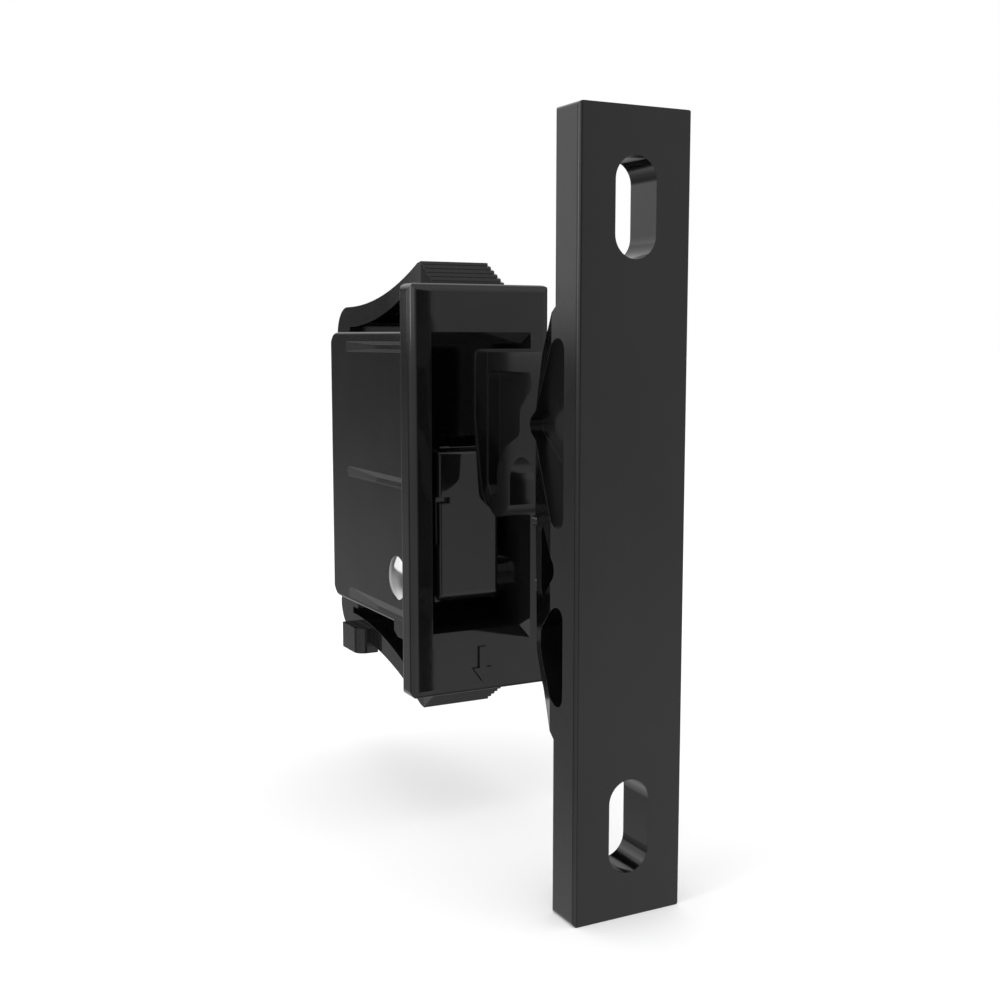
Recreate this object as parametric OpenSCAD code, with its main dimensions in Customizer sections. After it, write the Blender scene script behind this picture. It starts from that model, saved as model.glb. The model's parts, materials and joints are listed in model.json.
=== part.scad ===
// Push-to-close latch: a snap-in housing with an over-centre claw, and the hook keeper it holds.
// X runs across the latch, Y runs rearwards from the panel face and Z runs up, in millimetres.
// The panel face is the rear face of the bezel, at Y = 0.

/* [Bezel] */
// Width of the bezel
bezel_w = 17.6; // [17:0.1:20]
// Height of the bezel
bezel_h = 46.7; // [46.2:0.1:50]
// Thickness of the bezel
bezel_t = 3.1; // [2.6:0.1:4]
// Height of the mouth at the bezel's front face
mouth_h = 35.6; // [35.2:0.1:36]

/* [Housing] */
// Width of the box behind the panel
box_w = 14; // [13.6:0.1:14.6]
// Depth of the box behind the panel
box_d = 26.7; // [26:0.1:28]
// Thickness of the side walls
wall = 1.3; // [1.1:0.05:1.4]
// Height of a crush rib above its side wall
rib_rise = 0.75; // [0.4:0.05:0.9]

/* [Snap arms] */
// Width of a snap arm
arm_w = 8.6; // [6:0.1:10]
// Number of gripping steps on a snap arm
arm_steps = 5; // [3:1:5]

/* [Claw] */
// Width of the claw
claw_w = 7.9; // [7:0.1:8]
// Diameter of the pivot pin
pin_d = 5.2; // [4.8:0.1:5.3]
// Radial clearance of the claw on its pin
pin_fit = 0.06; // [0.03:0.01:0.1]

/* [Spring] */
// Outer diameter of the coil spring
coil_d = 6.2; // [5.6:0.1:6.6]
// Diameter of the spring's wire
wire_d = 0.8; // [0.6:0.05:0.9]
// Number of turns in the spring
coil_turns = 4.5; // [3.5:0.5:5]

/* [Keeper] */
// Height of the mounting bar
bar_h = 76.2; // [75:0.1:90]
// Width of the mounting bar
bar_w = 12.1; // [11:0.1:14]
// Thickness of the mounting bar
bar_t = 4.3; // [3.8:0.05:4.6]
// Distance between the centres of the two screw slots
slot_pitch = 58.2; // [56:0.2:62]
// Width of a screw slot
slot_w = 4.4; // [3.4:0.1:5]
// Length of a screw slot from end to end
slot_l = 9.25; // [7:0.25:10]
// Distance from the panel face to the bar's mounting face, with the keeper drawn away
keeper_reach = 34; // [34:0.5:45]
// Width of the hook's head
head_w = 7.84; // [6.4:0.1:8.4]

/* [Hidden] */

$fn = 48;
arc_fn = 240;
far = 60;
moulded = "#141415";
moulded_claw = "#1b1b1d";
steel = "#c9ccd1";

// bezel and mouth
bezel_edge_r = 0.9;
bezel_back_r = 0.5;
bezel_z = -0.1;
mouth_z = 0.1;
mouth_w = box_w - 1.46;
bevel = 1.5;
mouth_in_w = box_w - 2 * wall - 0.06;
mouth_bevel_z = 1.3;
cavity_top = mouth_z + mouth_h / 2 - mouth_bevel_z;
cavity_bottom = mouth_z - mouth_h / 2 + mouth_bevel_z;

// box
box_top = 18;
box_bottom = -16.4;
box_corner_r = 2.6;
box_edge_r = 0.45;
rear_wall = 1.3;
floor_z = -15.1;
collar_z = -17.9;
collar_end = 6.35;
partition_y = 12.7;
partition_bottom = 3.7;
notch_x = 2.4;
notch_r = 1;
notch_top = 6.2;
notch_depth = wall - 0.35;
window_w = 6.6;
window_z = [-9.5, 5.5];

// ribs
rib_levels = [16.2, 0.5, -15.1];
rib_base = 1.25;
rib_crest = 0.55;
rib_nose_y = 21;
rib_full_y = 9.5;

// snap arms, drawn for the upper one
arm_mirror_z = -0.28;
arm_root = [box_d - 0.05, box_d + 4.3];
arm_inner_r = 46;
arm_inner_z = 18.7;
arm_outer_r = 54;
arm_outer_z = 21.25;
crest = [3.9, 26];
step_y = 0.74;
step_z = 0.49;
arm_flare = 0.25;
lug_x = [-6.2, -3.4];
lug_y = [20.3, 25.9];
lug_z = [-23.4, -20.15];

// arrow below the mouth
arrow_depth = 0.25;
arrow_x = -0.05;

// claw and its spring strut
pivot = [5.37, -10.85];
bore_r = pin_d / 2 + 0.05;
hub_r = 3.8;
boss_r = 3.6;
boss_gap = 0.15;
heel_radius = 7.1;
heel_angle = -9.5;
heel = pivot + heel_radius * [cos(heel_angle), sin(heel_angle)];
heel_lobe_r = 2.3;
socket_angle = -7;
nose_r = 1.2;
nose_fit = 0.05;
nose_w = 6;
seat_pivot = [box_d - 4.4, -4.5];
strut = seat_pivot - heel;
strut_angle = atan2(strut[1], strut[0]);
strut_length = norm(strut);
neck_t = 1.4;
flange_at = 2.3;
flange_t = 1;
flange_r = coil_d / 2 + 0.15;
rod_r = 1.4;
rod_end = strut_length + 0.8;
rod_clearance = 0.4;
trunnion_r = 1.5;
trunnion_fit = 0.06;
seat_face = 2.1;
seat_w = 6.6;
cheek_gap = 0.4;
spring_gap = 0.03;

// keeper, measured from the mounting face of its bar
keeper_z = -0.12;
bar_edge_r = 0.4;
nose_y = 14;
web_t = 5;
web_rear = 24.94;
web_top = 15.9;
head_top = 16.2;
head_rear = 26.4;
slot_r = 2.75;
slot_centre = [16.8, 2.4];
leg_r = 2.7;
leg_centre = [22.25, 1];
core_web = 2;
recess_depth = 1.4;

// shortens a vector to a length of one
function unit(v) = v / norm(v);

// half the angle between the two sides that meet at corner i of an outline
function half_angle(c, i) =
    let (n = len(c), p = xy(c[i]), a = unit(xy(c[(i + n - 1) % n]) - p), b = unit(xy(c[(i + 1) % n]) - p))
    acos(a * b) / 2;

function xy(corner) = [corner[0], corner[1]];

// the two points where corner i's arc meets its sides
function tangent_points(c, i) =
    let (n = len(c), p = xy(c[i]), a = unit(xy(c[(i + n - 1) % n]) - p), b = unit(xy(c[(i + 1) % n]) - p),
         t = c[i][2] / tan(half_angle(c, i)))
    c[i][2] == 0 ? [p] : [p + a * t, p + b * t];

function arc_centre(c, i) =
    let (n = len(c), p = xy(c[i]), a = unit(xy(c[(i + n - 1) % n]) - p), b = unit(xy(c[(i + 1) % n]) - p))
    p + unit(a + b) * c[i][2] / sin(half_angle(c, i));

function turns_left(c, i) =
    let (n = len(c), a = xy(c[i]) - xy(c[(i + n - 1) % n]), b = xy(c[(i + 1) % n]) - xy(c[i]))
    cross(a, b) > 0;

// an outline with round corners, from [across, up, radius] corners listed anticlockwise
module rounded_outline(corners) {
    rounded = [for (i = [0:len(corners) - 1]) if (corners[i][2] > 0) i];
    difference() {
        union() {
            polygon([for (i = [0:len(corners) - 1]) each tangent_points(corners, i)]);
            for (i = rounded) if (turns_left(corners, i)) translate(arc_centre(corners, i)) circle(corners[i][2]);
        }
        for (i = rounded) if (!turns_left(corners, i)) translate(arc_centre(corners, i)) circle(corners[i][2]);
    }
}

module rounded_rect(low, high, r) {
    rounded_outline([[low[0], low[1], r], [high[0], low[1], r], [high[0], high[1], r], [low[0], high[1], r]]);
}

// a side view, drawn with Y to the right and Z up, given a width across X
module across(width) {
    rotate([90, 0, 90]) linear_extrude(width, center = true) children();
}

// a front view, drawn with X to the right and Z up, given a depth along Y
module deep(from, to) {
    translate([0, to, 0]) rotate([90, 0, 0]) linear_extrude(to - from) children();
}

// a plan view, drawn with X to the right and Y up, given a height along Z
module tall(from, to) {
    translate([0, 0, from]) linear_extrude(to - from) children();
}

module both_sides() {
    children();
    mirror([1, 0, 0]) children();
}

// places what is drawn along +X from the heel onto the line from the heel to the spring's seat
module along_strut() {
    translate([0, heel[0], heel[1]]) rotate([strut_angle, 0, 0]) children();
}

module bezel_plate() {
    x = bezel_w / 2;
    z = bezel_h / 2;
    translate([0, 0, bezel_z]) intersection() {
        deep(-bezel_t, 0) rounded_rect([-x, -z], [x, z], bezel_edge_r);
        tall(-far, far) rounded_outline([[-x, -bezel_t, bezel_edge_r], [x, -bezel_t, bezel_edge_r],
                                         [x, 0, bezel_back_r], [-x, 0, bezel_back_r]]);
        across(far) rounded_outline([[-bezel_t, -z, bezel_edge_r], [0, -z, bezel_back_r],
                                     [0, z, bezel_back_r], [-bezel_t, z, bezel_edge_r]]);
    }
}

module box_body() {
    intersection() {
        across(box_w) rounded_outline([[-1, box_bottom, 0], [box_d, box_bottom, box_corner_r],
                                       [box_d, box_top, box_corner_r], [-1, box_top, 0]]);
        deep(-1, box_d) rounded_rect([-box_w / 2, box_bottom], [box_w / 2, box_top], box_edge_r);
        tall(-far, far) rounded_outline([[-box_w / 2, -1, 0], [box_w / 2, -1, 0],
                                         [box_w / 2, box_d, box_edge_r], [-box_w / 2, box_d, box_edge_r]]);
    }
}

// the deeper floor behind the bezel, which the claw's front corner swings down into
module collar() {
    across(box_w) polygon([[-1, collar_z], [5.3, collar_z], [collar_end, -17.3],
                           [collar_end, box_bottom + 1], [-1, box_bottom + 1]]);
}

// the flared entry of the mouth, a wedge in plan met by a wedge in side view
module mouth_flare() {
    x_in = mouth_in_w / 2;
    x_flare = (mouth_w - mouth_in_w) / 2 / bevel;
    z_flare = mouth_bevel_z / bevel;
    reach = bevel + 1;
    y_in = bevel - bezel_t;
    intersection() {
        tall(-far, far) polygon([[-x_in - x_flare * reach, y_in - reach], [x_in + x_flare * reach, y_in - reach],
                                 [x_in, y_in], [-x_in, y_in]]);
        across(far) polygon([[y_in - reach, cavity_bottom - z_flare * reach], [y_in, cavity_bottom],
                             [y_in, cavity_top], [y_in - reach, cavity_top + z_flare * reach]]);
    }
}

module cavity() {
    rear = box_d - rear_wall;
    across(mouth_in_w) rounded_outline([[-2, cavity_bottom, 0], [5.1, cavity_bottom, 0], [6.9, floor_z, 0],
                                        [rear, floor_z, 1], [rear, cavity_top, 1], [-2, cavity_top, 0]]);
}

// the wall that the hook's head comes to rest against, with its two round-topped notches
module partition_wall() {
    difference() {
        across(mouth_in_w + 0.4) polygon([[partition_y, partition_bottom], [partition_y + wall, partition_bottom],
                                          [partition_y + wall, box_top - 1], [partition_y, box_top - 1]]);
        both_sides() translate([notch_x, 0, 0]) deep(partition_y - 1, partition_y + notch_depth) {
            translate([0, notch_top - notch_r]) circle(notch_r);
            translate([-notch_r, partition_bottom - 1]) square([2 * notch_r, notch_top - notch_r - partition_bottom + 1]);
        }
    }
}

module pin_boss() {
    inner = claw_w / 2 + boss_gap;
    translate([inner, pivot[0], pivot[1]]) rotate([0, 90, 0]) cylinder(h = box_w / 2 - wall / 2 - inner, r = boss_r);
}

// the socket that the spring seat's trunnion turns in, carried by the rear wall
module seat_cheek() {
    inner = seat_w / 2 + cheek_gap;
    depth = mouth_in_w / 2 - inner + 0.2;
    rear = box_d - rear_wall / 2;
    translate([inner + depth / 2, 0, 0]) difference() {
        across(depth) rounded_outline([[seat_pivot[0], seat_pivot[1] - 3.6, 1], [rear, seat_pivot[1] - 3.6, 0],
                                       [rear, seat_pivot[1] + 4.6, 0], [seat_pivot[0] - 1, seat_pivot[1] + 4.6, 1]]);
        translate([0, seat_pivot[0], seat_pivot[1]]) rotate([0, 90, 0])
            cylinder(h = far, r = trunnion_r + trunnion_fit, center = true);
    }
}

module crush_rib(level) {
    side = box_w / 2;
    sunk = side - wall / 2;
    translate([0, 0, level]) intersection() {
        tall(-rib_base, rib_base) polygon([[sunk, -0.5], [side + rib_rise, -0.5], [side + rib_rise, rib_full_y],
                                           [side, rib_nose_y], [sunk, rib_nose_y]]);
        across(far) rounded_outline([[-0.5, -rib_base / 2, 0], [rib_nose_y, -rib_base / 2, rib_base / 2 - 0.02],
                                     [rib_nose_y, rib_base / 2, rib_base / 2 - 0.02], [-0.5, rib_base / 2, 0]]);
        deep(-0.5, rib_nose_y) polygon([[sunk, -rib_base / 2], [side, -rib_base / 2], [side + rib_rise, -rib_crest / 2],
                                        [side + rib_rise, rib_crest / 2], [side, rib_base / 2], [sunk, rib_base / 2]]);
    }
}

// points along an arc, anticlockwise from one angle to another
function arc_points(centre, r, from, to, steps) =
    [for (i = [0:steps]) let (a = from + (to - from) * i / steps) centre + r * [cos(a), sin(a)]];

// angle, on an arc whose lowest point is at the arm's root, of the point a given way forward of it
function leaf_angle(r, forward) = -90 - asin(forward / r);

// the side view of a snap arm: a round heel, a curved leaf and a stepped gripping end
module arm_profile() {
    tip_y = crest[0] - arm_steps * step_y;
    inner = [arm_root[0], arm_inner_z + arm_inner_r];
    outer = [arm_root[0], arm_outer_z + arm_outer_r];
    heel_r = 3.6;
    polygon([[box_d - 1.8, 14.5], [box_d + 1.4, 14.5], [arm_root[1] - 0.5, 16.2],
             each arc_points([arm_root[1] - heel_r, arm_outer_z - heel_r], heel_r, 0, 90, 8),
             each arc_points(outer, arm_outer_r, -90, leaf_angle(arm_outer_r, arm_root[0] - 4.9), 16),
             for (i = [0:arm_steps - 1]) each [crest - [i * step_y, i * step_z],
                                               crest - [i * step_y + 0.06, i * step_z + 0.28]],
             [tip_y, crest[1] - arm_steps * step_z], [tip_y, 22.6], [5, 22.1],
             each arc_points(inner, arm_inner_r, leaf_angle(arm_inner_r, arm_root[0] - 10.05), -90, 12),
             [arm_root[0], box_top - 0.2], [box_d - 1.8, box_top - 0.2]]);
}

// a snap arm, a little wider at its gripping end
module snap_arm() {
    x = arm_w / 2;
    tip = x + arm_flare;
    intersection() {
        across(2 * tip) arm_profile();
        tall(-far, far) polygon([[-tip, 0], [tip, 0], [x, crest[0]], [x, far], [-x, far], [-x, crest[0]]]);
    }
}

// the thumb lug on the lower arm
module thumb_lug() {
    tall(lug_z[0], lug_z[1]) rounded_outline([[lug_x[0], lug_y[0], 1.3], [lug_x[1], lug_y[0], 0],
                                              [lug_x[1], lug_y[1], 0], [lug_x[0], lug_y[1], 0.3]]);
}

// the plain arrow below the mouth
module arrow() {
    translate([arrow_x, -bezel_t - 1, 0]) deep(0, 1 + arrow_depth)
        polygon([[0.45, -18.06], [-0.45, -18.06], [-0.45, -20.52], [-1.23, -20.52],
                 [0, -22.2], [1.23, -20.52], [0.45, -20.52]]);
}

module housing() color(moulded) {
    difference() {
        union() {
            difference() {
                union() {
                    bezel_plate();
                    box_body();
                    collar();
                }
                mouth_flare();
                cavity();
            }
            partition_wall();
            both_sides() pin_boss();
            both_sides() seat_cheek();
            both_sides() for (level = rib_levels) crush_rib(level);
            snap_arm();
            translate([0, 0, 2 * arm_mirror_z]) mirror([0, 0, 1]) snap_arm();
            thumb_lug();
        }
        translate([0, pivot[0], pivot[1]]) rotate([0, 90, 0]) cylinder(h = far, r = bore_r, center = true);
        translate([-window_w / 2, box_d - 2 * rear_wall, window_z[0]])
            cube([window_w, 3 * rear_wall, window_z[1] - window_z[0]]);
        arrow();
    }
}

// a straight steel pin, level with the walls' outer faces, with a cupped and dished end each side
module pivot_pin() color(steel) {
    length = box_w - 0.1;
    rim = 0.2;
    cup_depth = 0.7;
    dish_r = 2.8;
    translate([0, pivot[0], pivot[1]]) rotate([0, 90, 0]) difference() {
        cylinder(h = length, d = pin_d, center = true);
        for (end = [-1, 1]) {
            translate([0, 0, end * length / 2]) cylinder(h = 2 * cup_depth, r = pin_d / 2 - rim, center = true);
            translate([0, 0, end * (length / 2 - cup_depth + dish_r - 1)]) sphere(dish_r);
        }
    }
}

// the claw's side view: front tooth, fork gap, rear prong, hub and heel
module claw_profile() {
    rounded_outline([[0.4, -13, 1.1], [4.6, -14.5, 0.5], [heel[0], heel[1] - heel_lobe_r, 0],
                     [heel[0] + 0.2, heel[1] + heel_lobe_r, 0], [11.3, -8.7, 0.8], [15, -4, 1], [15, 1.5, 1],
                     [12.5, 1.5, 0.6], [12.5, -3.2, 2], [5, -3.2, 1.6], [5, 4.4, 1.2], [0.4, 4.4, 0.6]]);
    translate(pivot) circle(hub_r);
    translate(heel) circle(heel_lobe_r);
}

// the socket that the plunger's nose rocks in, open towards the spring
module heel_socket() {
    translate([0, heel[0], heel[1]]) rotate([0, 90, 0]) cylinder(h = far, r = nose_r + nose_fit, center = true);
    translate([0, heel[0], heel[1]]) rotate([socket_angle, 0, 0]) translate([-far / 2, 0.1, -2.6]) cube([far, 4, 5.2]);
}

module claw() color(moulded_claw) difference() {
    intersection() {
        across(claw_w) claw_profile();
        tall(-far, far) rounded_outline([[-claw_w / 2, 0.4, 0.5], [claw_w / 2, 0.4, 0.5],
                                         [claw_w / 2, 20, 0], [-claw_w / 2, 20, 0]]);
        union() {
            deep(-1, 1.6) rounded_outline([[-claw_w / 2, -13.4, 1.3], [claw_w / 2, -13.4, 1.3],
                                           [claw_w / 2, 4.4, 0.4], [-claw_w / 2, 4.4, 0.4]]);
            deep(1.5, 20) rounded_outline([[-claw_w / 2, -15, 0], [claw_w / 2, -15, 0],
                                           [claw_w / 2, 4.4, 0.4], [-claw_w / 2, 4.4, 0.4]]);
        }
    }
    heel_socket();
    translate([0, pivot[0], pivot[1]]) rotate([0, 90, 0]) cylinder(h = far, r = pin_d / 2 + pin_fit, center = true);
    translate([-claw_w / 2 - 1, 0, -1.66]) cube([2.5, 1.1, 0.7]);
    translate([-claw_w / 2 - 1, 0, -6.5]) cube([1.2, 1.1, 5]);
}

// the guide that rocks in the claw's heel: nose, neck, flange and rod
module plunger() color(moulded_claw) along_strut() {
    rotate([0, 90, 0]) cylinder(h = nose_w, r = nose_r, center = true);
    translate([-nose_w / 2, 0, -neck_t / 2]) cube([nose_w, flange_at + flange_t / 2, neck_t]);
    translate([0, flange_at, 0]) rotate([-90, 0, 0]) cylinder(h = flange_t, r = flange_r);
    translate([0, flange_at, 0]) rotate([-90, 0, 0]) cylinder(h = rod_end - flange_at, r = rod_r);
}

// the rocking block behind the spring, bored for the guide's rod
module spring_seat() color(moulded_claw) along_strut() difference() {
    union() {
        translate([-seat_w / 2, strut_length - seat_face, -3])
            cube([seat_w, seat_face + 0.4, 6]);
        translate([0, strut_length, 0]) rotate([0, 90, 0])
            cylinder(h = mouth_in_w - 0.5, r = trunnion_r, center = true);
    }
    translate([0, strut_length - 4, 0]) rotate([-90, 0, 0]) cylinder(h = 8, r = rod_r + rod_clearance);
}

// one wire ring of the coil, square to the strut's own plane
function coil_ring(turn, start, length) =
    let (ring_r = (coil_d - wire_d) / 2, a = 360 * turn, y = start + length * turn / coil_turns)
    [for (k = [0:7]) let (out = ring_r + wire_d / 2 * cos(45 * k))
        [out * cos(a), y + wire_d / 2 * sin(45 * k), out * sin(a)]];

module spring() color(steel) along_strut() {
    start = flange_at + flange_t + wire_d / 2 + spring_gap;
    length = strut_length - seat_face - wire_d / 2 - spring_gap - start;
    rings = coil_turns * 16;
    points = [for (i = [0:rings]) each coil_ring(i / 16, start, length)];
    sides = [for (i = [0:rings - 1], k = [0:7])
        [8 * i + k, 8 * i + (k + 1) % 8, 8 * (i + 1) + (k + 1) % 8, 8 * (i + 1) + k]];
    polyhedron(points, concat([[7, 6, 5, 4, 3, 2, 1, 0]], sides, [[for (k = [0:7]) 8 * rings + k]]));
}

module screw_slot() {
    deep(-1, bar_t + 1) {
        for (end = [-1, 1]) translate([0, end * (slot_l - slot_w) / 2]) circle(d = slot_w);
        translate([-slot_w / 2, -(slot_l - slot_w) / 2]) square([slot_w, slot_l - slot_w]);
    }
}

module bar() {
    intersection() {
        deep(0, bar_t) rounded_rect([-bar_w / 2, -bar_h / 2], [bar_w / 2, bar_h / 2], bar_edge_r);
        tall(-far, far) rounded_rect([-bar_w / 2, 0], [bar_w / 2, bar_t], bar_edge_r);
    }
}

// the tapered body that carries the hook, narrower towards the latch
module gusset() {
    intersection() {
        across(bar_w) rounded_outline([[3, -21.6, 0], [8.4, -17, 2], [9.8, -16.4, 0.6], [12.8, -14.2, 0.8],
                                       [12.9, -12.4, 0.6], [nose_y, -0.6, 0], [nose_y, 10.2, 0], [10.1, 15.8, 1.5],
                                       [8.3, 17.1, 0], [3, 21, 0]]);
        tall(-far, far) polygon([[-bar_w / 2, 3], [bar_w / 2, 3], [bar_w / 2, 4.75], [web_t / 2, nose_y],
                                 [web_t / 2, nose_y + 1], [-web_t / 2, nose_y + 1], [-web_t / 2, nose_y],
                                 [-bar_w / 2, 4.75]]);
    }
}

// the three hollows cored into each side of the body, which leave diagonal ribs between them
module side_cores() {
    depth = bar_w / 2;
    both_sides() translate([core_web / 2 + depth / 2, 0, 0]) across(depth) {
        rounded_outline([[2.4, -1.6, 1.2], [16.1, 8.6, 1.2], [2.4, 18.5, 1.2]]);
        rounded_outline([[2.6, -4.4, 1.4], [10.2, -8.7, 0.9], [10.2, -0.3, 0.9]]);
        rounded_outline([[2.4, -18.2, 1.1], [10.4, -13.8, 0.9], [10.2, -11.3, 0.9], [2.4, -7.1, 1.1]]);
    }
}

module hook_web() {
    across(web_t) difference() {
        union() {
            polygon([[nose_y - 4, leg_centre[1] - 1.6], [web_rear, leg_centre[1] - 0.9],
                     [web_rear, web_top], [nose_y - 4, web_top]]);
            translate(leg_centre) circle(leg_r);
        }
        translate(slot_centre) circle(slot_r);
        translate([slot_centre[0] - slot_r, slot_centre[1] - 8]) square([2 * slot_r, 8]);
    }
}

module web_recess() {
    translate([web_t / 2 - recess_depth / 2 + 0.5, 0, 0]) across(recess_depth + 1)
        rounded_outline([[22.5, 0.5, 0.45], [23.7, 0.5, 0.8], [24.5, 1.6, 0.5], [24.5, 13.9, 1], [15, 13.9, 0.7],
                         [15, 12.2, 0.6], [17.4, 10.2, 1.5], [17.4, 7.4, 1], [20.6, 6, 2], [22.5, 3.6, 1.5]]);
}

// the hook's head: a tongue with a round lower end and a back that is gently convex in plan
module head() {
    back_r = 6.8;
    end_r = head_w / 2 - 0.77;
    shoulder = 9;
    corner = 0.8;
    intersection() {
        deep(web_rear - 0.2, head_rear + 1) polygon([
            each arc_points([0, end_r - 1.9], end_r, 184, 356, 16), [head_w / 2, shoulder],
            each arc_points([head_w / 2 - corner, head_top - corner], corner, 0, 90, 4),
            each arc_points([corner - head_w / 2, head_top - corner], corner, 90, 180, 4), [-head_w / 2, shoulder]]);
        tall(-far, far) translate([0, head_rear - back_r]) circle(back_r, $fn = arc_fn);
        across(far) rounded_outline([[0, -2.5, 0], [head_rear + 0.4, -2.5, 6], [head_rear + 0.4, far, 0], [0, far, 0]]);
    }
}

// the small raised ends of the body's ribs: [height, half length, how far forward]
module nubs() {
    for (nub = [[-1.05, 0.5, 0], [-7.6, 0.75, 0.55], [-13.1, 0.95, 1.1]])
        translate([0, nose_y - nub[2], nub[0]]) deep(-1.3, 0.07)
            rounded_rect([-web_t / 2 - 0.4, -nub[1]], [web_t / 2 + 0.4, nub[1]], 0.3);
}

module keeper() color(moulded) translate([0, -keeper_reach, keeper_z]) difference() {
    union() {
        bar();
        gusset();
        hook_web();
        head();
        nubs();
    }
    for (end = [-1, 1]) translate([0, 0, end * slot_pitch / 2]) screw_slot();
    side_cores();
    both_sides() web_recess();
}

housing();
pivot_pin();
claw();
plunger();
spring();
spring_seat();
keeper();
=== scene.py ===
"""Looks of a push-to-close latch: finishes, small drawn pieces and a pale studio."""

import json
import logging
import math
from dataclasses import dataclass, field
from enum import Enum

import bmesh
import bpy
from mathutils import Euler, Matrix, Vector

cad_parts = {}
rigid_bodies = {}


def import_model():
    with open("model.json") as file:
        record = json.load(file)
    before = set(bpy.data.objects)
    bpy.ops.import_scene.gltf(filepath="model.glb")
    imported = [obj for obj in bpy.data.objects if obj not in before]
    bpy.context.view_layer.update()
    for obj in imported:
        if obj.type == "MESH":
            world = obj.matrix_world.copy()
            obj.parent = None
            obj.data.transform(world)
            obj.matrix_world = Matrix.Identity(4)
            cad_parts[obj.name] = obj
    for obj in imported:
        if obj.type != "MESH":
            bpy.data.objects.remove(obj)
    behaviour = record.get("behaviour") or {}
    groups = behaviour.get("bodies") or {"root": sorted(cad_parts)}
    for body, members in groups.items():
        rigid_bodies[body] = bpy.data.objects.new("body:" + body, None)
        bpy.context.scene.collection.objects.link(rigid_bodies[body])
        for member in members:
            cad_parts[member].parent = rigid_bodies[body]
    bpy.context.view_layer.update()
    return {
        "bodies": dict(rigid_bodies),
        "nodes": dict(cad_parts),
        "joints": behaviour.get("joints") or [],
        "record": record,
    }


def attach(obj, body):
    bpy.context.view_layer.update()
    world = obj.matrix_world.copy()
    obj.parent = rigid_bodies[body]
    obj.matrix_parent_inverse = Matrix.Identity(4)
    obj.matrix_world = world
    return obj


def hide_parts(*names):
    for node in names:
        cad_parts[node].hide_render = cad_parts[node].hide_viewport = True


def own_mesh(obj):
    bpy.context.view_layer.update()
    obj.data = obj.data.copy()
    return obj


logging.basicConfig(level=logging.INFO, format="%(name)s: %(message)s")
LOG = logging.getLogger("latch")

MM = 0.001
MIDDLE = (0.0, 0.0, 0.0)
WHITE = (1.0, 1.0, 1.0, 1.0)


class Node(Enum):
    """The CAD nodes of the latch."""

    HOUSING = "housing"
    PIN = "pivot_pin"
    CLAW = "claw"
    PLUNGER = "plunger"
    SPRING = "spring"
    SEAT = "spring_seat"
    KEEPER = "keeper"


class Slot(Enum):
    """The record's material slots, by name."""

    BLACK = "black_moulding"
    POLISHED = "polished_steel"
    WIRE = "spring_steel"


class Joint(Enum):
    """The joints whose axes place the drawn pieces."""

    CLAW = "claw_swing"
    PLUNGER = "plunger_rock"
    SEAT = "seat_rock"


class Axis(Enum):
    """The parts of a vector."""

    X = "X"
    Y = "Y"
    Z = "Z"


class Ray(Enum):
    """The kinds of ray that the floor and the sky tell apart."""

    CAMERA = "Is Camera Ray"
    MIRROR = "Is Glossy Ray"
    THROUGH = "Is Transmission Ray"


class Sockets:
    """A node tree's builder: one method makes any node and links or sets its inputs."""

    def __init__(self, tree: bpy.types.NodeTree) -> None:
        """Wraps a node tree and empties it."""
        self.tree = tree
        tree.nodes.clear()

    def node(self, kind: str, inputs: dict | None = None, **settings: object) -> bpy.types.Node:
        """Adds one node.

        Args:
            kind: The node's class name, such as "ShaderNodeTexNoise".
            inputs: Values or wrapped outputs, by input name or number.
            settings: The node's own attributes.

        Returns:
            The node.
        """
        node = self.tree.nodes.new(kind)
        for name, setting in settings.items():
            setattr(node, name, setting)
        for name, given in (inputs or {}).items():
            if isinstance(given, Value):
                self.tree.links.new(given.socket, node.inputs[name])
            else:
                node.inputs[name].default_value = given
        return node

    def make(
        self, kind: str, inputs: dict | None = None, output: str | int = 0, **settings: object
    ) -> "Value":
        """Adds one node and wraps the output of the given name or number."""
        return Value(self, self.node(kind, inputs, **settings).outputs[output])

    def ray(self, kind: Ray) -> "Value":
        """Wires the test for one kind of ray."""
        return self.make("ShaderNodeLightPath", output=kind.value)


@dataclass(frozen=True)
class Value:
    """A node's output that reads as a number or a vector in Python expressions."""

    sockets: Sockets
    socket: bpy.types.NodeSocket

    def _math(self, operation: str, first: "Value | float", second: "Value | float") -> "Value":
        """Adds a Math node."""
        return self.sockets.make("ShaderNodeMath", {0: first, 1: second}, operation=operation)

    def __add__(self, other: "Value | float") -> "Value":
        """Adds a value or a number to this one."""
        return self._math("ADD", self, other)

    def __sub__(self, other: "Value | float") -> "Value":
        """Takes a value or a number from this one."""
        return self._math("SUBTRACT", self, other)

    def __rsub__(self, other: float) -> "Value":
        """Takes this value from a number."""
        return self._math("SUBTRACT", other, self)

    def __mul__(self, other: "Value | float") -> "Value":
        """Multiplies this value by another or by a number."""
        return self._math("MULTIPLY", self, other)

    __radd__ = __add__
    __rmul__ = __mul__

    def either(self, other: "Value") -> "Value":
        """The larger of this value and another."""
        return self._math("MAXIMUM", self, other)

    def ramp(self, span: tuple[float, float], to: tuple[float, float] = (0.0, 1.0)) -> "Value":
        """Maps a span onto another with a smooth step.

        Args:
            span: Where the step starts and ends.
            to: The results at its two ends, kept past them.

        Returns:
            The mapped value.
        """
        low, high = span
        at_low, at_high = to
        given = {
            "Value": self,
            "From Min": low,
            "From Max": high,
            "To Min": at_low,
            "To Max": at_high,
        }
        return self.sockets.make("ShaderNodeMapRange", given, interpolation_type="SMOOTHSTEP")

    def axis(self, name: Axis) -> "Value":
        """One part of a vector."""
        return self.sockets.make("ShaderNodeSeparateXYZ", {0: self}, output=name.value)


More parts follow.
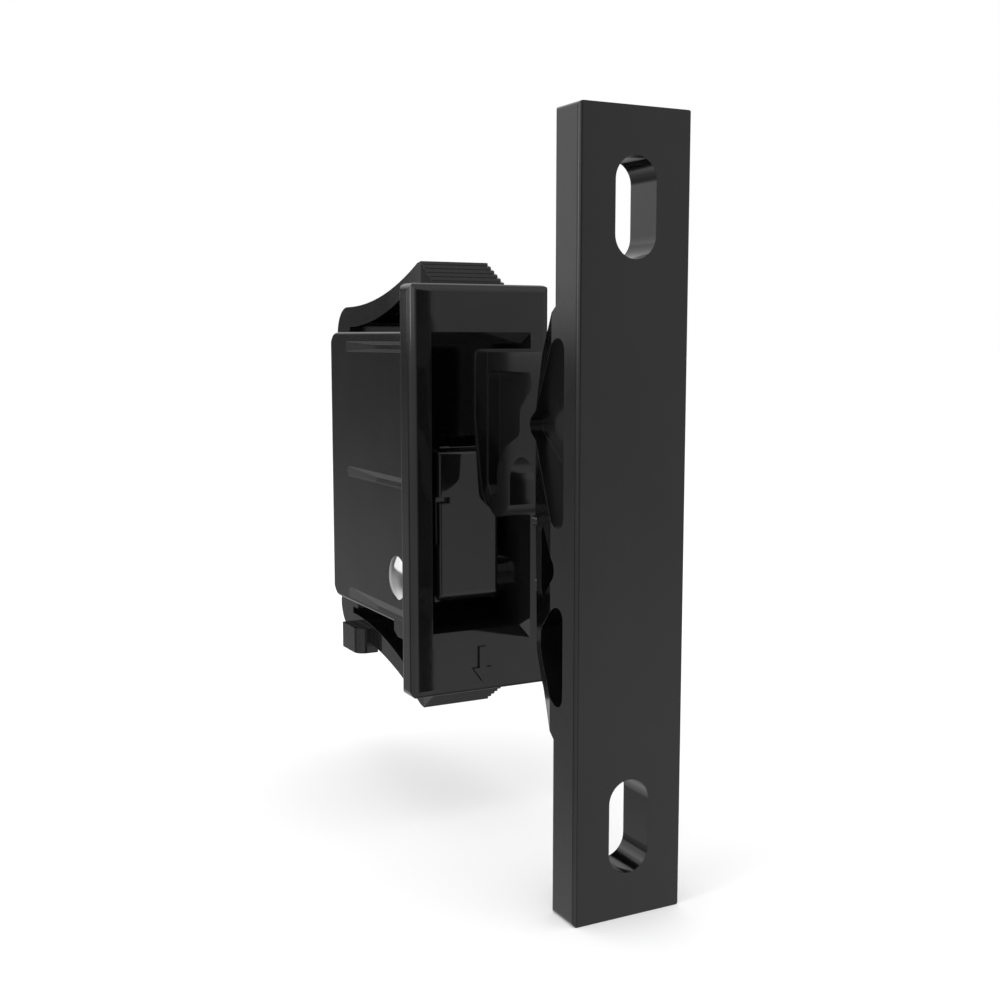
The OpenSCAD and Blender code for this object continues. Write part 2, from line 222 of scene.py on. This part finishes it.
@dataclass(frozen=True)
class Pattern:
    """A noise pattern on a piece's own coordinates."""

    scale: float
    detail: float
    harshness: float = 0.5

    def wire(self, sockets: Sockets) -> Value:
        """Wires the pattern.

        Args:
            sockets: The material's tree.

        Returns:
            A value that wavers round one half.
        """
        given = {
            "Vector": sockets.make("ShaderNodeTexCoord", output="Object"),
            "Scale": self.scale,
            "Detail": self.detail,
            "Roughness": self.harshness,
        }
        return sockets.make("ShaderNodeTexNoise", given)


class Finish:
    """What every surface finish shares: a material built from one shader."""

    label: str = ""

    def build(self) -> bpy.types.Material:
        """Makes the material.

        Returns:
            The finished material.
        """
        material = bpy.data.materials.new(self.label)
        material.use_nodes = True
        sockets = Sockets(material.node_tree)
        sockets.node("ShaderNodeOutputMaterial", {"Surface": self.shade(sockets)})
        LOG.info("material %s with %d shader nodes", self.label, len(sockets.tree.nodes))
        return material

    def shade(self, sockets: Sockets) -> Value:
        """Wires the finish in its material's tree and gives its shader."""
        raise NotImplementedError


@dataclass(frozen=True)
class Moulding(Finish):
    """Glossy black engineering plastic with faint flow marks and a fine mould texture."""

    label: str = "moulding"
    tone: float = 0.007
    warmth: float = 0.96
    roughness: float = 0.06
    gloss: float = 1.5
    edge_radius: float = 0.04 * MM
    edge_samples: int = 6
    flow: Pattern = Pattern(160.0, 3.0)
    flow_span: tuple[float, float] = (0.3, 0.7)
    flow_drift: float = 0.012
    tone_span: tuple[float, float] = (0.35, 0.7)
    tone_drift: tuple[float, float] = (0.85, 1.15)
    cloud: Pattern = Pattern(900.0, 5.0, 0.6)
    cloud_span: tuple[float, float] = (0.3, 0.75)
    cloud_drift: tuple[float, float] = (-0.012, 0.02)
    grain_size: float = 0.35 * MM
    grain_detail: float = 2.0
    grain_depth: float = 0.0016 * MM
    grain_strength: float = 0.5

    def shade(self, sockets: Sockets) -> Value:
        """Wires the plastic: colour and gloss drift slowly, and a fine grain breaks the gloss.

        Args:
            sockets: The material's tree.

        Returns:
            The shader's output.
        """
        flow = self.flow.wire(sockets)
        level = flow.ramp(self.tone_span, self.tone_drift) * self.tone
        warm = level * self.warmth
        colour = sockets.make(
            "ShaderNodeCombineColor", {"Red": warm, "Green": warm, "Blue": level}
        )
        limits = (self.roughness - self.flow_drift, self.roughness + self.flow_drift)
        cloud = self.cloud.wire(sockets).ramp(self.cloud_span, self.cloud_drift)
        given = {
            "Base Color": colour,
            "Roughness": cloud + flow.ramp(self.flow_span, limits),
            "Normal": self.surface(sockets),
            "IOR": self.gloss,
        }
        return sockets.make("ShaderNodeBsdfPrincipled", given)

    def surface(self, sockets: Sockets) -> Value:
        """Wires the surface's direction: softened edges under the mould's grain.

        Args:
            sockets: The material's tree.

        Returns:
            The normal.
        """
        given = {
            "Height": Pattern(1.0 / self.grain_size, self.grain_detail).wire(sockets),
            "Distance": self.grain_depth,
            "Strength": self.grain_strength,
            "Normal": sockets.make(
                "ShaderNodeBevel", {"Radius": self.edge_radius}, samples=self.edge_samples
            ),
        }
        return sockets.make("ShaderNodeBump", given)


@dataclass(frozen=True)
class PolishedSteel(Finish):
    """Polished or drawn steel with fine marks and a little clouding."""

    label: str = "polished steel"
    tone: float = 0.86
    blue: float = 1.01
    dulled: float = 0.9
    roughness: float = 0.05
    roughness_drift: float = 0.08
    cloud: Pattern = Pattern(700.0, 4.0)
    tone_span: tuple[float, float] = (0.3, 0.75)
    cloud_span: tuple[float, float] = (0.3, 0.7)
    mark_size: float = 0.05 * MM
    mark_detail: float = 2.0
    mark_depth: float = 0.001 * MM
    mark_strength: float = 0.4

    def shade(self, sockets: Sockets) -> Value:
        """Wires the metal.

        Args:
            sockets: The material's tree.

        Returns:
            The shader's output.
        """
        cloud = self.cloud.wire(sockets)
        level = cloud.ramp(self.tone_span, (self.tone * self.dulled, self.tone))
        colour = sockets.make(
            "ShaderNodeCombineColor", {"Red": level, "Green": level, "Blue": level * self.blue}
        )
        marks = {
            "Height": Pattern(1.0 / self.mark_size, self.mark_detail).wire(sockets),
            "Distance": self.mark_depth,
            "Strength": self.mark_strength,
        }
        limits = (self.roughness, self.roughness + self.roughness_drift)
        given = {
            "Base Color": colour,
            "Metallic": 1.0,
            "Roughness": cloud.ramp(self.cloud_span, limits),
            "Normal": sockets.make("ShaderNodeBump", marks),
        }
        return sockets.make("ShaderNodeBsdfPrincipled", given)


@dataclass(frozen=True)
class PaleFloor(Finish):
    """The plain pale ground: matt, with a thin white veil that only the camera sees."""

    label: str = "pale floor"
    tone: float = 0.95
    veil: float = 0.17

    def shade(self, sockets: Sockets) -> Value:
        """Wires the ground.

        Args:
            sockets: The material's tree.

        Returns:
            The shader's output.
        """
        tone = (self.tone, self.tone, self.tone, 1.0)
        given = {
            0: sockets.ray(Ray.CAMERA) * self.veil,
            1: sockets.make("ShaderNodeBsdfDiffuse", {"Color": tone}),
            2: sockets.make("ShaderNodeEmission", {"Strength": 1.0}),
        }
        return sockets.make("ShaderNodeMixShader", given)


def new_piece(
    label: str, mesh: bmesh.types.BMesh, material: bpy.types.Material, smooth: bool
) -> bpy.types.Object:
    """Turns a bmesh into an object at the origin, with its place in its vertices.

    Args:
        label: The object's name.
        mesh: The shape, freed here.
        material: Its only material.
        smooth: Whether its faces shade smoothly.

    Returns:
        The new object, linked to the scene.
    """
    data = bpy.data.meshes.new(label)
    for face in mesh.faces:
        face.smooth = smooth
    mesh.to_mesh(data)
    mesh.free()
    data.materials.append(material)
    piece = bpy.data.objects.new(label, data)
    bpy.context.scene.collection.objects.link(piece)
    LOG.info("piece %s with %d faces", label, len(data.polygons))
    return piece


def close_ends(mesh: bmesh.types.BMesh, sides: int) -> None:
    """Closes a tube's two open ends and turns its faces outwards.

    Args:
        mesh: The tube.
        sides: The most sides an end may have.
    """
    rims = [edge for edge in mesh.edges if edge.is_boundary]
    bmesh.ops.holes_fill(mesh, edges=rims, sides=sides)
    bmesh.ops.recalc_face_normals(mesh, faces=mesh.faces)


@dataclass
class DomedPin:
    """The pivot pin with gently domed ends, whose rims are level with the box's sides."""

    centre: Vector
    radius: float = 2.6 * MM
    rim: float = 6.98 * MM
    dome_radius: float = 6.6 * MM
    dome_steps: int = 10
    sides: int = 72
    crease: float = math.radians(25)

    def profile(self) -> list[Vector]:
        """Half of the pin's outline, from one end to the other.

        Returns:
            Points in the part's frame.
        """
        reach = math.asin(self.radius / self.dome_radius)
        base = self.rim - self.dome_radius * math.cos(reach)
        angles = [reach * (step + 1) / self.dome_steps for step in range(self.dome_steps)]
        dome = [
            Vector((base + self.dome_radius * math.cos(a), 0.0, self.dome_radius * math.sin(a)))
            for a in angles
        ]
        mirrored = [Vector((-spot.x, 0.0, spot.z)) for spot in dome]
        return [self.centre + spot for spot in mirrored + dome[::-1]]

    def build(self, material: bpy.types.Material) -> bpy.types.Object:
        """Turns the outline about the pin's axis.

        Args:
            material: The pin's finish.

        Returns:
            The pin.
        """
        mesh = bmesh.new()
        spots = [mesh.verts.new(spot) for spot in self.profile()]
        lines = [mesh.edges.new(pair) for pair in zip(spots, spots[1:])]
        bmesh.ops.spin(
            mesh,
            geom=spots + lines,
            axis=(1.0, 0.0, 0.0),
            cent=self.centre,
            angle=math.tau,
            steps=self.sides,
            use_merge=True,
        )
        close_ends(mesh, self.sides)
        for edge in mesh.edges:
            edge.smooth = edge.calc_face_angle(0.0) < self.crease
        return new_piece("domed_pin", mesh, material, smooth=True)


@dataclass
class RaisedArrow:
    """The plain arrow below the mouth, which stands proud of the bezel."""

    front: float = -3.1 * MM
    rise: float = 0.3 * MM
    sunk: float = 0.2 * MM
    centre: float = -0.05 * MM
    shaft: float = 0.45 * MM
    barb: float = 1.23 * MM
    top: float = -18.06 * MM
    neck: float = -20.52 * MM
    tip: float = -22.2 * MM

    def outline(self) -> list[tuple[float, float]]:
        """The arrow's outline, in the bezel's plane.

        Returns:
            Across and up, corner by corner.
        """
        right = [(self.shaft, self.top), (self.shaft, self.neck), (self.barb, self.neck)]
        left = [(-across, up) for across, up in reversed(right)]
        return right + [(0.0, self.tip)] + left

    def build(self, material: bpy.types.Material) -> bpy.types.Object:
        """Raises the outline from the bezel.

        Args:
            material: The moulding's finish.

        Returns:
            The arrow.
        """
        mesh = bmesh.new()
        back = self.front + self.sunk
        base = [mesh.verts.new((self.centre + x, back, z)) for x, z in self.outline()]
        lifted = bmesh.ops.extrude_face_region(mesh, geom=[mesh.faces.new(base)])["geom"]
        face = [part for part in lifted if isinstance(part, bmesh.types.BMVert)]
        bmesh.ops.translate(mesh, verts=face, vec=(0.0, -self.rise - self.sunk, 0.0))
        bmesh.ops.recalc_face_normals(mesh, faces=mesh.faces)
        return new_piece("raised_arrow", mesh, material, smooth=False)


@dataclass
class CoilSpring:
    """The coil spring between the guide's flange and the rocking seat."""

    front: Vector
    rear: Vector
    outer: float = 6.2 * MM
    wire: float = 0.8 * MM
    turns: float = 4.5
    front_gap: float = 3.33 * MM
    rear_gap: float = 2.13 * MM
    sides: int = 12
    steps_per_turn: int = 36
    kept_when_tipped: float = 0.89

    def along(self) -> Vector:
        """The direction from the guide's flange to the seat."""
        return (self.rear - self.front).normalized()

    def centre_line(self) -> list[Vector]:
        """The wire's own line.

        Returns:
            Points along the helix, in the part's frame.
        """
        along = self.along()
        across = Vector((1.0, 0.0, 0.0))
        up = along.cross(across)
        start = self.front_gap + self.wire / 2
        length = (self.rear - self.front).length - self.rear_gap - self.wire / 2 - start
        radius = (self.outer - self.wire) / 2
        line = []
        for step in range(int(self.turns * self.steps_per_turn) + 1):
            turn = step / self.steps_per_turn
            angle = math.tau * turn
            spot = self.front + along * (start + length * turn / self.turns)
            line.append(spot + across * radius * math.cos(angle) - up * radius * math.sin(angle))
        return line

    def section(
        self, mesh: bmesh.types.BMesh, spot: Vector, ahead: Vector
    ) -> list[bmesh.types.BMEdge]:
        """Adds the wire's round section at one place.

        Args:
            mesh: The shape it joins.
            spot: Its centre.
            ahead: The wire's direction there.

        Returns:
            Its edges, in a steady order.
        """
        place = Matrix.Translation(spot) @ ahead.to_track_quat("Z", "X").to_matrix().to_4x4()
        circle = bmesh.ops.create_circle(
            mesh, segments=self.sides, radius=self.wire / 2, matrix=place
        )
        return list(dict.fromkeys(edge for vert in circle["verts"] for edge in vert.link_edges))

    def build(self, material: bpy.types.Material) -> bpy.types.Object:
        """Bridges round sections along the wire's line.

        Args:
            material: The wire's finish.

        Returns:
            The spring.
        """
        mesh = bmesh.new()
        line = self.centre_line()
        neighbours = zip(line[:1] + line, line, line[1:] + line[-1:])
        rings = [
            self.section(mesh, spot, (after - before).normalized())
            for before, spot, after in neighbours
        ]
        for ring, following in zip(rings, rings[1:]):
            bmesh.ops.bridge_loops(mesh, edges=ring + following)
        close_ends(mesh, self.sides)
        return new_piece("drawn_spring", mesh, material, smooth=True)


@dataclass
class CameraView:
    """The photograph's own view, found by fitting a camera to the straight edges."""

    place: tuple[float, float, float] = (-67.318 * MM, -135.898 * MM, 17.213 * MM)
    yaw: float = 27.66
    pitch: float = -7.0
    lens: float = 47.41
    sensor: float = 36.0
    nearest: float = 1.0 * MM

    def build(self) -> bpy.types.Object:
        """Adds the camera and makes it the scene's own.

        Returns:
            The camera.
        """
        data = bpy.data.cameras.new("view")
        data.lens = self.lens
        data.sensor_width = self.sensor
        data.clip_start = self.nearest
        camera = bpy.data.objects.new("view", data)
        camera.location = self.place
        tilt = math.radians(90 + self.pitch)
        camera.rotation_euler = Euler((tilt, 0.0, math.radians(-self.yaw)))
        bpy.context.scene.collection.objects.link(camera)
        bpy.context.scene.camera = camera
        LOG.info("camera at %s", self.place)
        return camera


@dataclass(frozen=True)
class SoftBox:
    """One soft area light that faces the latch."""

    label: str
    place: tuple[float, float, float]
    size: tuple[float, float]
    power: float

    def build(self) -> bpy.types.Object:
        """Adds the light.

        Returns:
            The light.
        """
        data = bpy.data.lights.new(self.label, "AREA")
        data.shape = "RECTANGLE"
        data.size, data.size_y = self.size
        data.energy = self.power
        light = bpy.data.objects.new(self.label, data)
        light.location = self.place
        turn = (Vector(MIDDLE) - Vector(self.place)).to_track_quat("-Z", "Y")
        light.rotation_euler = turn.to_euler()
        bpy.context.scene.collection.objects.link(light)
        LOG.info("light %s", self.label)
        return light


@dataclass(frozen=True)
class Span:
    """A smooth step along one axis of the looked-at direction, from off to on."""

    axis: Axis
    off: float
    on: float

    def wire(self, direction: Value) -> Value:
        """Wires the step for a looked-at direction."""
        return direction.axis(self.axis).ramp((self.off, self.on))


@dataclass(frozen=True)
class Glow:
    """One soft zone of the room as the latch mirrors it."""

    label: str
    level: float
    first: Span
    second: Span

    def wire(self, direction: Value) -> Value:
        """Wires what the zone adds in a looked-at direction."""
        return self.first.wire(direction) * self.second.wire(direction) * self.level


@dataclass
class Studio:
    """A white room: pale floor, a sky white to the camera, soft zones in mirrors, two lamps."""

    floor_z: float = -38.24 * MM
    floor_reach: float = 3.0
    fill: float = 0.8
    zenith: float = 1.6
    zenith_span: tuple[float, float] = (0.6, 0.95)
    mirror_base: float = 0.12
    glows: tuple[Glow, ...] = (
        Glow("low back", 0.22, Span(Axis.Z, 0.0, -0.22), Span(Axis.Y, 0.5, 0.8)),
        Glow("back floor", 0.06, Span(Axis.Z, -0.2, -0.35), Span(Axis.Y, 0.5, 0.8)),
        Glow("low back left", 0.06, Span(Axis.X, -0.42, -0.46), Span(Axis.Z, -0.14, -0.06)),
        Glow("window left", 0.9, Span(Axis.X, -0.385, -0.45), Span(Axis.Z, -0.02, 0.03)),
        Glow("front", 0.45, Span(Axis.Y, 0.2, -0.4), Span(Axis.X, 0.1, 0.3)),
        Glow("front right", 0.15, Span(Axis.X, 0.46, 0.56), Span(Axis.Y, -0.5, -0.8)),
        Glow("front floor", 0.18, Span(Axis.Z, -0.08, -0.3), Span(Axis.Y, -0.4, -0.8)),
        Glow("back middle", 0.2, Span(Axis.X, -0.36, 0.1), Span(Axis.Y, 0.7, 0.9)),
        Glow("back ceiling", 0.8, Span(Axis.Z, 0.14, 0.5), Span(Axis.Y, 0.0, 0.35)),
        Glow("front ceiling", 0.28, Span(Axis.Z, 0.14, 0.5), Span(Axis.Y, 0.35, 0.0)),
        Glow("left floor", 0.45, Span(Axis.Z, -0.28, -0.5), Span(Axis.X, 0.2, -0.2)),
        Glow("front left", 0.5, Span(Axis.X, 0.1, -0.3), Span(Axis.Y, 0.5, 0.1)),
    )
    boxes: tuple[SoftBox, ...] = (
        SoftBox("top_box", (0.0, 0.02, 0.6), (0.45, 0.45), 0.5),
        SoftBox("left_box", (-0.6, -0.15, 0.25), (0.12, 0.5), 0.8),
    )

    def build(self) -> None:
        """Builds the floor, the sky and the lights."""
        self.lay_floor()
        self.light_sky()
        for box in self.boxes:
            box.build()
        bpy.context.scene.view_settings.view_transform = "Standard"

    def lay_floor(self) -> None:
        """Lays the floor under the keeper's lower end."""
        mesh = bmesh.new()
        level = Matrix.Translation((0.0, 0.0, self.floor_z))
        bmesh.ops.create_grid(
            mesh, x_segments=1, y_segments=1, size=self.floor_reach, matrix=level
        )
        floor = new_piece("floor", mesh, PaleFloor().build(), smooth=False)
        floor.visible_glossy = False

    def light_sky(self) -> None:
        """Makes the sky: white to the camera, soft for fill light, zones in mirrors."""
        world = bpy.data.worlds.new("studio")
        bpy.context.scene.world = world
        world.use_nodes = True
        sockets = Sockets(world.node_tree)
        direction = sockets.make("ShaderNodeTexCoord", output="Generated")
        mirrored = sum((glow.wire(direction) for glow in self.glows), self.mirror_base)
        soft = direction.axis(Axis.Z).ramp(self.zenith_span, (self.fill, self.zenith))
        mirror_ray = sockets.ray(Ray.MIRROR)
        lit = soft + mirror_ray * (mirrored - soft)
        seen = sockets.ray(Ray.CAMERA).either(sockets.ray(Ray.THROUGH))
        given = {"Color": WHITE, "Strength": seen + (1.0 - seen) * lit}
        background = sockets.make("ShaderNodeBackground", given)
        sockets.node("ShaderNodeOutputWorld", {"Surface": background})
        LOG.info("sky with %d shader nodes", len(sockets.tree.nodes))


@dataclass
class Latch:
    """The latch itself: the CAD nodes with their finishes, and the pieces drawn over them."""

    frame: dict
    finishes: dict[Node, Finish] = field(
        default_factory=lambda: {
            Node.HOUSING: Moulding("housing moulding"),
            Node.KEEPER: Moulding("keeper moulding", tone=0.0045, roughness=0.15),
            Node.CLAW: Moulding("claw moulding", roughness=0.04, edge_radius=0.22 * MM),
            Node.PLUNGER: Moulding("guide moulding", tone=0.01, roughness=0.2),
            Node.SEAT: Moulding("seat moulding", tone=0.01, roughness=0.2),
            Node.PIN: PolishedSteel("pin steel"),
            Node.SPRING: PolishedSteel(
                "spring wire", tone=0.55, roughness=0.28, mark_size=0.08 * MM
            ),
        }
    )

    def build(self) -> None:
        """Finishes every CAD node and adds the drawn pieces."""
        materials = {node: finish.build() for node, finish in self.finishes.items()}
        for node, material in materials.items():
            self.paint(self.frame["nodes"][node.value], material)
        self.add_spring(materials[Node.SPRING])
        self.add_pin(materials[Node.PIN])
        self.add_arrow(materials[Node.HOUSING])

    def paint(self, piece: bpy.types.Object, material: bpy.types.Material) -> None:
        """Gives a CAD node one material.

        Args:
            piece: The node's object.
            material: Its finish.
        """
        piece.data.materials.clear()
        piece.data.materials.append(material)
        LOG.info("finished %s", piece.name)

    def joint_place(self, wanted: Joint) -> Vector:
        """Where a joint's axis crosses the middle of the latch."""
        joint = next(j for j in self.frame["joints"] if j["name"] == wanted.value)
        return Vector(joint["pos_m"])

    def add_spring(self, material: bpy.types.Material) -> None:
        """Draws the spring in place of its plain CAD node, on the plunger's body with a mesh of
        its own.

        Args:
            material: The wire's finish.
        """
        spring = CoilSpring(self.joint_place(Joint.PLUNGER), self.joint_place(Joint.SEAT))
        piece = spring.build(material)
        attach(piece, "plunger")
        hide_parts(Node.SPRING.value)
        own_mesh(piece)

    def add_pin(self, material: bpy.types.Material) -> None:
        """Draws the pin with its domed ends in place of its CAD node.

        Args:
            material: The pin's finish.
        """
        piece = DomedPin(self.joint_place(Joint.CLAW)).build(material)
        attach(piece, "housing")
        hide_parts(Node.PIN.value)

    def add_arrow(self, material: bpy.types.Material) -> None:
        """Draws the raised arrow on the bezel, over the CAD's sunk one.

        Args:
            material: The housing's finish.
        """
        piece = RaisedArrow().build(material)
        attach(piece, "housing")


def main() -> None:
    """Loads the part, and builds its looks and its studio."""
    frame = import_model()
    Latch(frame).build()
    Studio().build()
    CameraView().build()


if __name__ == "__main__":
    main()
